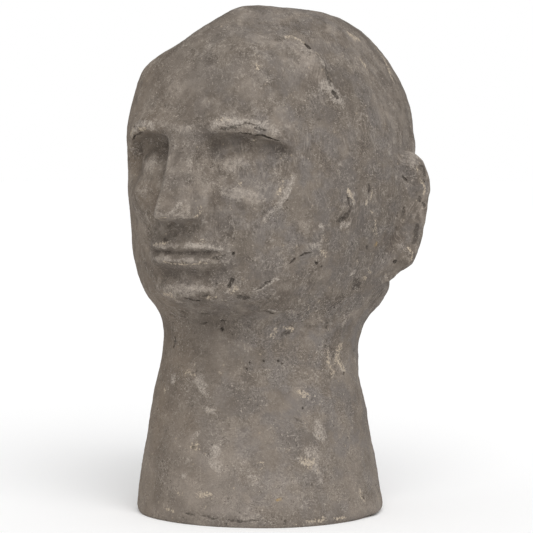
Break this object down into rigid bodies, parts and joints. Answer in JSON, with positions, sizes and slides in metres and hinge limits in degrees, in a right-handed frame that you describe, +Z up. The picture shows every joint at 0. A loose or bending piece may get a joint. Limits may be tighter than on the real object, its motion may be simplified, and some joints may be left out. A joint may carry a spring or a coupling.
{
  "type": "papier-mache head sculpture",
  "caption": "Head sculpture of grey papier-mache, with a plain calm face and a broad flared neck on which it stands on a table or shelf.",
  "frame": {"origin": "middle of the flat underside of the foot, at table height", "axes": "+Z up towards the crown, -Y the way the face looks, +X towards the head's own left ear"},
  "size_m": [0.2098, 0.2386, 0.3302],
  "materials": {
    "papier_mache": "dry matt grey-brown paper pulp, pitted and rubbed"
  },
  "bodies": {
    "root": {"papier_mache_head": "papier_mache"}
  },
  "joints": []
}
